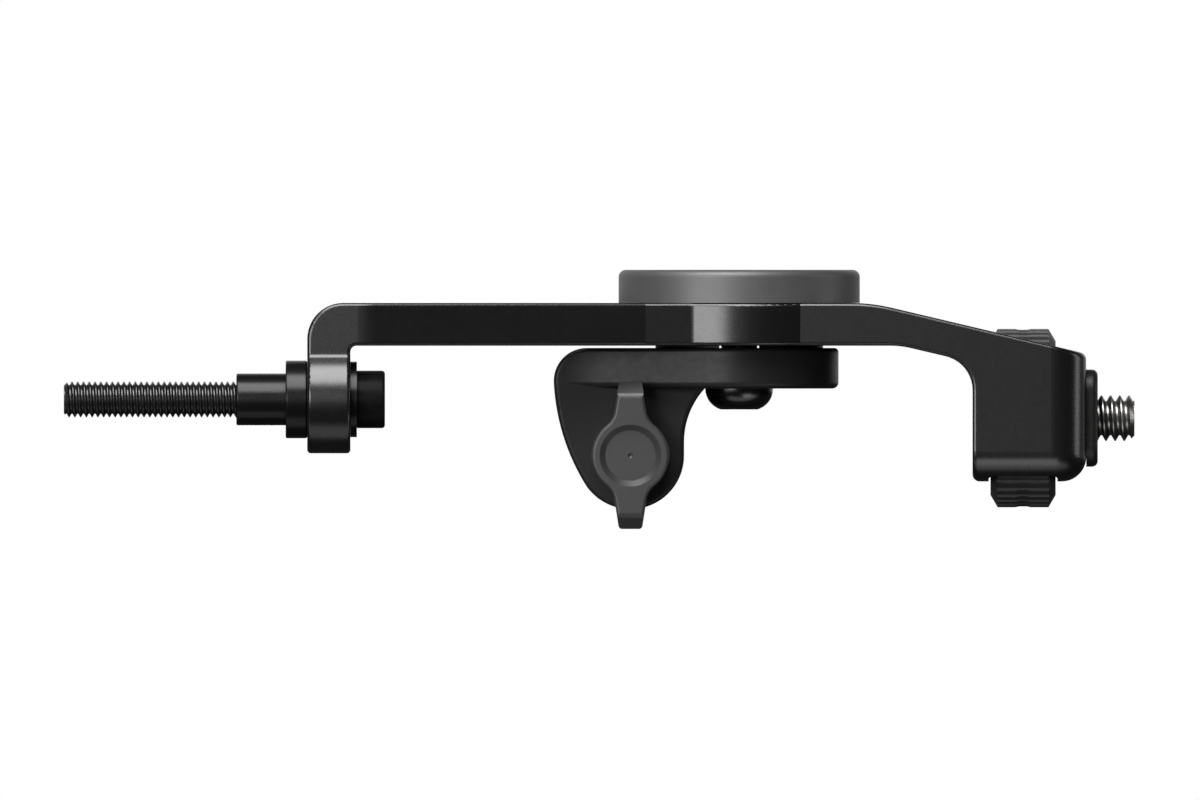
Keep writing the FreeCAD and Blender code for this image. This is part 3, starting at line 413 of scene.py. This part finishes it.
# Nodes of materials
def add_node(tree, kind, links=(), **settings):
    """Adds a node, sets its properties or input values and links its inputs."""
    node = tree.nodes.new(kind)
    for name, value in settings.items():
        if hasattr(node, name):
            setattr(node, name, value)
        else:
            node.inputs[name.replace("_", " ").title()].default_value = value
    for socket, source in links:
        tree.links.new(source, node.inputs[socket])
    return node


def empty_tree(owner):
    """Gives a material or the world an empty node tree."""
    owner.use_nodes = True
    owner.node_tree.nodes.clear()
    return owner.node_tree


def ramp_to(tree, value, start, end, low, high):
    """Numbers from low to high as a value goes from start to end."""
    return add_node(tree, "ShaderNodeMapRange", [("Value", value)], from_min=start, from_max=end,
                    to_min=low, to_max=high).outputs["Result"]


def calculate(tree, operation, *values):
    """Adds a math node with these numbers or links as its inputs."""
    node = add_node(tree, "ShaderNodeMath", operation=operation)
    for socket, value in zip(node.inputs, values):
        if isinstance(value, (int, float)):
            socket.default_value = value
        else:
            tree.links.new(value, socket)
    return node.outputs["Value"]


# Finishes
class Surface:
    """A material in the making: its nodes, its shader and the coordinates that its patterns follow."""

    def __init__(self, name, gloss=0.5, metallic=0.0):
        self.tree = empty_tree(bpy.data.materials.get(name) or bpy.data.materials.new(name))
        self.where = add_node(self.tree, "ShaderNodeTexCoord").outputs["Object"]
        self.shader = add_node(self.tree, "ShaderNodeBsdfPrincipled", metallic=metallic)
        self.shader.inputs["Specular IOR Level"].default_value = gloss
        self.bump_below = []
        add_node(self.tree, "ShaderNodeOutputMaterial", [("Surface", self.shader.outputs["BSDF"])])

    def noise(self, scale, detail=2.0, where=None):
        """Noise of a scale in waves to the metre."""
        return add_node(self.tree, "ShaderNodeTexNoise", [("Vector", where or self.where)],
                        scale=scale, detail=detail).outputs["Fac"]

    def cloud(self, colour, scale, darkest, lightest, detail=2.0):
        """Gives the surface its colour, in clouds between two shares of it."""
        ramp = add_node(self.tree, "ShaderNodeValToRGB", [("Fac", self.noise(scale, detail))])
        for stop, position, share in zip(ramp.color_ramp.elements, CLOUD_RANGE, (darkest, lightest)):
            stop.position = position
            stop.color = tuple(min(1.0, part * share) for part in colour[:3]) + (1.0,)
        self.tree.links.new(ramp.outputs["Color"], self.shader.inputs["Base Color"])

    def grain(self, scale, smoothest, roughest):
        """Gives the surface its roughness, in grains between two values."""
        roughness = ramp_to(self.tree, self.noise(scale), *GRAIN_RANGE, smoothest, roughest)
        self.tree.links.new(roughness, self.shader.inputs["Roughness"])

    def bump(self, height, strength, distance):
        """Adds a bump on top of the bumps before it."""
        node = add_node(self.tree, "ShaderNodeBump", [("Height", height)] + self.bump_below,
                        strength=strength, distance=distance)
        self.bump_below = [("Normal", node.outputs["Normal"])]
        self.tree.links.new(node.outputs["Normal"], self.shader.inputs["Normal"])


def make_anodised(name, colour, gloss):
    """Satin black anodising over fine bead blasting."""
    surface = Surface(name, gloss=gloss)
    surface.cloud(colour, scale=140, darkest=0.9, lightest=1.1)
    surface.grain(scale=900, smoothest=0.265, roughest=0.285)
    surface.bump(surface.noise(9000), strength=0.015, distance=0.01 * MM)
    surface.bump(surface.noise(3500), strength=0.006, distance=0.02 * MM)


def make_wheel_finish(colour):
    """Dark grey anodising, rougher than the arm's."""
    surface = Surface("wheel_aluminium", gloss=0.45)
    surface.cloud(colour, scale=300, darkest=0.85, lightest=1.15)
    surface.grain(scale=1500, smoothest=0.48, roughest=0.56)
    surface.bump(surface.noise(8000), strength=0.12, distance=0.01 * MM)


def make_black_plastic(colour):
    """Black moulded plastic with a fine spark-eroded skin."""
    surface = Surface("black_plastic", gloss=0.19)
    surface.cloud(colour, scale=200, darkest=0.92, lightest=1.08)
    surface.grain(scale=1200, smoothest=0.38, roughest=0.44)
    surface.bump(surface.noise(6000), strength=0.14, distance=0.012 * MM)
    surface.bump(surface.noise(2200), strength=0.08, distance=0.02 * MM)


def make_grey_plastic(name, colour, gloss, roughness):
    """Grey moulded plastic with a faint spark-eroded skin."""
    surface = Surface(name, gloss=gloss)
    surface.cloud(colour, scale=180, darkest=0.95, lightest=1.05)
    surface.grain(scale=1200, smoothest=roughness - 0.025, roughest=roughness + 0.025)
    surface.bump(surface.noise(6500), strength=0.10, distance=0.01 * MM)
    surface.bump(surface.noise(2500), strength=0.06, distance=0.015 * MM)


def make_black_steel(name, colour, gloss, roughness):
    """Black oxide on steel, slightly mottled."""
    surface = Surface(name, gloss=gloss)
    surface.cloud(colour, scale=700, darkest=0.8, lightest=1.2, detail=4.0)
    surface.grain(scale=2000, smoothest=roughness - 0.03, roughest=roughness + 0.03)
    surface.bump(surface.noise(7000), strength=0.10, distance=0.008 * MM)


def make_bare_steel(colour):
    """Bright rolled steel with fine scratches that run round with the thread."""
    surface = Surface("bare_steel", metallic=1.0)
    surface.cloud(colour, scale=900, darkest=0.85, lightest=1.1, detail=3.0)
    surface.grain(scale=2500, smoothest=0.30, roughest=0.38)
    stretched = add_node(surface.tree, "ShaderNodeMapping", [("Vector", surface.where)], scale=SCRATCH_SCALE)
    surface.bump(surface.noise(1800, where=stretched.outputs["Vector"]), strength=0.15, distance=0.01 * MM)


def make_rubber(colour):
    """Matt black rubber with a pebbled skin."""
    surface = Surface("pad_rubber", gloss=0.4)
    surface.cloud(colour, scale=500, darkest=0.9, lightest=1.15)
    surface.grain(scale=1800, smoothest=0.42, roughest=0.52)
    pebbles = add_node(surface.tree, "ShaderNodeTexVoronoi", [("Vector", surface.where)], scale=2600)
    surface.bump(pebbles.outputs["Distance"], strength=0.18, distance=0.02 * MM)
    surface.bump(surface.noise(7000), strength=0.1, distance=0.01 * MM)


class MOUNT_OT_finishes(bpy.types.Operator):
    """Give every carried-over piece its finish"""

    bl_idname = "bike_mount.finishes"
    bl_label = "Finishes"

    def execute(self, context):
        colours = context.scene.mount_colours
        make_anodised("anodised_aluminium", colours.anodised, gloss=0.6)
        make_anodised("spacer_aluminium", colours.spacer_black, gloss=0.22)
        make_wheel_finish(colours.wheel)
        make_black_plastic(colours.black_plastic)
        make_grey_plastic("socket_plastic", colours.socket_grey, gloss=0.75, roughness=0.49)
        make_grey_plastic("wing_plastic", colours.wing_grey, gloss=0.42, roughness=0.42)
        make_black_steel("black_steel", colours.black_steel, gloss=0.6, roughness=0.3)
        # A darker, duller copy of the black steel for the stem bolts' heads: painted shade of the arm's bar
        # above them
        make_black_steel("bolt_head_shaded_steel", colours.bolt_head_shade_black, gloss=0.03, roughness=0.35)
        make_black_steel("polished_steel", colours.polished_black, gloss=0.8, roughness=0.24)
        make_bare_steel(colours.bare_steel)
        make_rubber(colours.rubber)
        for finish, nodes in FINISHED_NODES.items():
            for node in nodes:
                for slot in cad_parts[node].material_slots:
                    slot.material = bpy.data.materials[finish]
        return {"FINISHED"}


# Screws and pad
class MOUNT_OT_stem_bolts(bpy.types.Operator):
    """Add the two stem bolts with their threads and key sockets"""

    bl_idname = "bike_mount.stem_bolts"
    bl_label = "Stem Bolts"

    def execute(self, context):
        sizes = context.scene.mount_screws
        low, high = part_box("stem_bolt_right")
        thread_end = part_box("stem_spacer_right")[0].x + HIDDEN_TURNS * sizes.stem_pitch
        under_head = high.x - sizes.stem_head
        head_radius = (high.y - low.y) / 2
        bolt = make_thread("stem_bolt_right_threaded", sizes.stem_radius, sizes.stem_pitch, low.x,
                           thread_end, sizes.stem_point)
        head = turn_piece("head", [
            (thread_end - sizes.stem_pitch, 0, 0),
            (thread_end - sizes.stem_pitch, sizes.stem_shank, 0),
            (under_head, sizes.stem_shank, 0),
            (under_head, head_radius, STEM_HEAD_BASE_ROUND),
            (high.x, head_radius, sizes.stem_head_round),
            (high.x, 0, 0)])
        combine(bolt, head, "UNION")
        cut_key(bolt, sizes.key, high.x, high.x - sizes.key_depth)
        select_only(bolt)
        bpy.ops.object.duplicate(linked=False)
        other = context.object
        other.name = "stem_bolt_left_threaded"
        for piece, node in ((bolt, "stem_bolt_right"), (other, "stem_bolt_left")):
            centre = middle_of(node)
            settle(piece, (0, centre.y, centre.z))
            hand_over(piece, "mount_arm", "black_steel", node)
            # The heads take the darker copy of the black steel, which paints the arm's shade on them
            piece.data.materials.append(bpy.data.materials["bolt_head_shaded_steel"])
            for face in piece.data.polygons:
                face.material_index = 1 if face.center.x > under_head - TINY else 0
        return {"FINISHED"}


class MOUNT_OT_camera_screw(bpy.types.Operator):
    """Add the camera screw with its quarter-inch thread"""

    bl_idname = "bike_mount.camera_screw"
    bl_label = "Camera Screw"

    def execute(self, context):
        # Modelled from its point to its head, and turned round in the end
        sizes = context.scene.mount_screws
        low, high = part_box("camera_screw")
        wheel_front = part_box("camera_wheel")[1].x
        pad_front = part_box("camera_pad")[1].x
        centre = middle_of("camera_screw")
        head_radius = (high.y - low.y) / 2
        thread_start = pad_front - sizes.camera_pitch
        screw = make_thread("camera_screw_threaded", sizes.camera_radius, sizes.camera_pitch, -high.x,
                            -thread_start, sizes.camera_point, sizes.camera_phase)
        body = turn_piece("body", [
            (-low.x, 0, 0),
            (-low.x, head_radius, CAMERA_HEAD_ROUND),
            (-low.x - sizes.camera_head, head_radius, 0),
            (-low.x - sizes.camera_head, sizes.camera_radius, 0),
            (-wheel_front, sizes.camera_radius, 0),
            (-wheel_front, sizes.camera_relief, 0),
            (-thread_start - sizes.camera_pitch, sizes.camera_relief, 0),
            (-thread_start - sizes.camera_pitch, 0, 0)])
        combine(screw, body, "UNION")
        cut_key(screw, sizes.key, -low.x, -low.x - sizes.key_depth)
        settle(screw, (0, centre.y, centre.z), math.pi)
        hand_over(screw, "camera_screw", "bare_steel", "camera_screw")
        return {"FINISHED"}


class MOUNT_OT_thumb_bolt(bpy.types.Operator):
    """Add the thumb screw's bolt with its thread"""

    bl_idname = "bike_mount.thumb_bolt"
    bl_label = "Thumb Bolt"

    def execute(self, context):
        # Modelled along X, and turned to lie across the mount in the end
        sizes = context.scene.mount_screws
        low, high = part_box("thumb_bolt")
        centre = middle_of("thumb_bolt")
        under_head = -low.y - sizes.thumb_head
        bolt = make_thread("thumb_bolt_threaded", sizes.stem_radius, sizes.stem_pitch, -high.y,
                           under_head - OVERLAP, sizes.stem_point)
        head = make_hex(sizes.thumb_flats, under_head, -low.y)
        neck = turn_piece("neck", [
            (under_head - 2 * OVERLAP, 0, 0),
            (under_head - 2 * OVERLAP, sizes.stem_shank, 0),
            (under_head + OVERLAP, sizes.stem_shank, 0),
            (under_head + OVERLAP, 0, 0)])
        combine(bolt, neck, "UNION")
        combine(bolt, head, "UNION")
        settle(bolt, (centre.x, 0, centre.z), -math.pi / 2)
        hand_over(bolt, "thumb_screw", "black_steel", "thumb_bolt")
        return {"FINISHED"}


class MOUNT_OT_camera_pad(bpy.types.Operator):
    """Add the rubber pad that the camera is screwed against"""

    bl_idname = "bike_mount.camera_pad"
    bl_label = "Camera Pad"

    def execute(self, context):
        sizes = context.scene.mount_pad
        low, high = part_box("camera_pad")
        size = high - low
        bpy.ops.object.select_all(action="DESELECT")
        bpy.ops.mesh.primitive_cube_add(size=1, location=(low + high) / 2, scale=size)
        pad = context.object
        pad.name = "camera_pad_rubber"
        bpy.ops.object.transform_apply(location=True, rotation=True, scale=True)
        bevel_edges(pad, lambda start, end: abs(start.x - end.x) > size.x / 2, sizes.corner, PAD_CORNER_STEPS)
        bevel_edges(pad, lambda start, end: min(start.x, end.x) > high.x - TINY, sizes.edge, PAD_RIM_STEPS)
        axis = middle_of("camera_screw")
        bore = turn_piece("bore", [
            (low.x - OVERLAP, 0, 0),
            (low.x - OVERLAP, sizes.hole, 0),
            (high.x + OVERLAP, sizes.hole, 0),
            (high.x + OVERLAP, 0, 0)])
        settle(bore, (0, axis.y, axis.z))
        combine(pad, bore, "DIFFERENCE")
        hand_over(pad, "mount_arm", "pad_rubber", "camera_pad")
        return {"FINISHED"}


# Studio
def view_centre():
    """The place in the frame that the middle of the photograph shows."""
    eye_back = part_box("stem_spacer_right")[1].x
    x = eye_back + (PHOTO_WIDTH / 2 - EYE_BACK_PIXEL) / PIXELS_PER_METRE
    z = (BOLT_AXIS_PIXEL - PHOTO_HEIGHT / 2) / PIXELS_PER_METRE
    return Vector((x, 0, z))


def add_panel(name, place, rotation, width, height, brightness):
    """Adds an evenly bright panel that the camera does not see."""
    bpy.ops.object.light_add(type="AREA", location=place)
    panel = bpy.context.object
    panel.name = name
    panel.rotation_euler = rotation
    panel.visible_camera = False
    panel.data.shape = "RECTANGLE"
    panel.data.size = width
    panel.data.size_y = height
    panel.data.energy = brightness * math.pi * width * height


def add_softbox(name, azimuth, elevation, width, height, brightness):
    """Adds a softbox that looks at the object from an azimuth and elevation in degrees."""
    turn, rise = math.radians(azimuth), math.radians(elevation)
    out = Vector((math.sin(turn) * math.cos(rise), -math.cos(turn) * math.cos(rise), math.sin(rise)))
    facing = (-out).to_track_quat("-Z", "Y").to_euler()
    add_panel(name, view_centre() + out * SOFTBOX_DISTANCE, facing, width, height, brightness)


def add_card(name, x, level, card, brightness):
    """Adds a bright card that faces up in front of the object, just under the camera's view."""
    distance, length, width = card
    add_panel(name, (x, -distance, level), (math.pi, 0, 0), length, width, brightness)


def studio_glow(tree, rearward, ambient, front):
    """Strength of the studio around: white to the camera, white behind and dark in front in reflections."""
    path = add_node(tree, "ShaderNodeLightPath").outputs
    behind = ramp_to(tree, rearward, *WHITE_BEHIND, front, 1)
    mirrored = calculate(tree, "MULTIPLY", path["Is Glossy Ray"], behind)
    diffuse = calculate(tree, "MULTIPLY", path["Is Diffuse Ray"], ambient)
    plain = calculate(tree, "MAXIMUM", path["Is Camera Ray"], path["Is Transmission Ray"])
    return calculate(tree, "MAXIMUM", plain, calculate(tree, "MAXIMUM", mirrored, diffuse))


def make_world(ambient, front):
    """The surroundings: a white background and a plain light on the object."""
    world = bpy.data.worlds.new("studio")
    bpy.context.scene.world = world
    tree = empty_tree(world)
    direction = add_node(tree, "ShaderNodeTexCoord").outputs["Generated"]
    rearward = add_node(tree, "ShaderNodeSeparateXYZ", [("Vector", direction)]).outputs["Y"]
    background = add_node(tree, "ShaderNodeBackground", [
        ("Strength", studio_glow(tree, rearward, ambient, front))])
    background.inputs["Color"].default_value = SURROUNDINGS_COLOUR
    add_node(tree, "ShaderNodeOutputWorld", [("Surface", background.outputs["Background"])])


def make_floor(height, ambient, front):
    """A pale floor that keeps the shadow, fades into the white background and is clear from below."""
    bpy.ops.object.select_all(action="DESELECT")
    bpy.ops.mesh.primitive_circle_add(
        vertices=FLOOR_SIDES, radius=FLOOR_RADIUS, fill_type="NGON", location=(0, 0, height))
    floor = bpy.context.object
    floor.name = "floor"
    material = bpy.data.materials.new("floor")
    tree = empty_tree(material)
    diffuse = add_node(tree, "ShaderNodeBsdfDiffuse")
    diffuse.inputs["Color"].default_value = FLOOR_COLOUR
    where = add_node(tree, "ShaderNodeTexCoord").outputs["Object"]
    away = add_node(tree, "ShaderNodeVectorMath", [(0, where)], operation="DISTANCE")
    away.inputs[1].default_value = (view_centre().x, 0, 0)
    fade = ramp_to(tree, away.outputs["Value"], *FLOOR_FADE, 0, 1)
    rearward = add_node(tree, "ShaderNodeSeparateXYZ", [("Vector", where)]).outputs["Y"]
    glow = add_node(tree, "ShaderNodeEmission", [("Strength", studio_glow(tree, rearward, ambient, front))])
    camera_ray = add_node(tree, "ShaderNodeLightPath").outputs["Is Camera Ray"]
    share = calculate(tree, "MAXIMUM", fade, calculate(tree, "SUBTRACT", 1, camera_ray))
    mixed = add_node(tree, "ShaderNodeMixShader", [
        ("Fac", share), (1, diffuse.outputs["BSDF"]), (2, glow.outputs["Emission"])])
    below = add_node(tree, "ShaderNodeNewGeometry").outputs["Backfacing"]
    clear = add_node(tree, "ShaderNodeBsdfTransparent").outputs["BSDF"]
    shown = add_node(tree, "ShaderNodeMixShader", [("Fac", below), (1, mixed.outputs["Shader"]), (2, clear)])
    add_node(tree, "ShaderNodeOutputMaterial", [("Surface", shown.outputs["Shader"])])
    floor.data.materials.append(material)


class MOUNT_OT_studio(bpy.types.Operator):
    """Set up the floor, the lights and the photograph's camera"""

    bl_idname = "bike_mount.studio"
    bl_label = "Studio"

    def execute(self, context):
        studio = context.scene.mount_studio
        centre = view_centre()
        lower_edge = centre.z - PHOTO_HEIGHT / PIXELS_PER_METRE / 2
        make_world(studio.ambient, studio.front)
        make_floor(lower_edge - studio.floor_drop, studio.ambient, studio.front)
        for name, setting, azimuth, elevation, width, height in SOFTBOXES:
            add_softbox(name, azimuth, elevation, width, height, getattr(studio, setting))
        add_card("low_card", centre.x, lower_edge, LOW_CARD, studio.low_card)
        add_card("box_card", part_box("camera_wheel")[1].x, lower_edge, BOX_CARD, studio.box_card)
        bpy.ops.object.camera_add(
            location=(centre.x, -CAMERA_DISTANCE, centre.z), rotation=(math.pi / 2, 0, 0))
        camera = context.object
        camera.data.type = "ORTHO"
        camera.data.ortho_scale = PHOTO_WIDTH / PIXELS_PER_METRE
        camera.data.clip_start = CLIP_START
        camera.data.clip_end = CLIP_END
        context.scene.camera = camera
        context.scene.view_settings.view_transform = "Standard"
        return {"FINISHED"}


class MOUNT_PT_panel(bpy.types.Panel):
    """Sidebar panel with the mount's pieces, sizes and colours"""

    bl_idname = "MOUNT_PT_panel"
    bl_label = "Bike Computer Mount"
    bl_space_type = "VIEW_3D"
    bl_region_type = "UI"
    bl_category = "Mount"

    def draw(self, context):
        layout = self.layout
        for operator in OPERATORS:
            layout.operator(operator.bl_idname)
        for name in SETTINGS:
            settings = getattr(context.scene, name)
            box = layout.box()
            for setting in settings.__annotations__:
                box.prop(settings, setting)


SETTINGS = {"mount_screws": ScrewSizes, "mount_pad": PadSizes, "mount_colours": FinishColours,
            "mount_studio": StudioSettings}
OPERATORS = (MOUNT_OT_finishes, MOUNT_OT_stem_bolts, MOUNT_OT_camera_screw, MOUNT_OT_thumb_bolt,
             MOUNT_OT_camera_pad, MOUNT_OT_studio)


def register():
    for group in SETTINGS.values():
        bpy.utils.register_class(group)
    for name, group in SETTINGS.items():
        setattr(bpy.types.Scene, name, bpy.props.PointerProperty(type=group))
    for operator in OPERATORS:
        bpy.utils.register_class(operator)
    bpy.utils.register_class(MOUNT_PT_panel)


def unregister():
    bpy.utils.unregister_class(MOUNT_PT_panel)
    for operator in reversed(OPERATORS):
        bpy.utils.unregister_class(operator)
    for name, group in SETTINGS.items():
        delattr(bpy.types.Scene, name)
        bpy.utils.unregister_class(group)


def main():
    register()
    bpy.ops.bike_mount.finishes()
    bpy.ops.bike_mount.stem_bolts()
    bpy.ops.bike_mount.camera_screw()
    bpy.ops.bike_mount.thumb_bolt()
    bpy.ops.bike_mount.camera_pad()
    bpy.ops.bike_mount.studio()


if __name__ == "__main__":
    main()
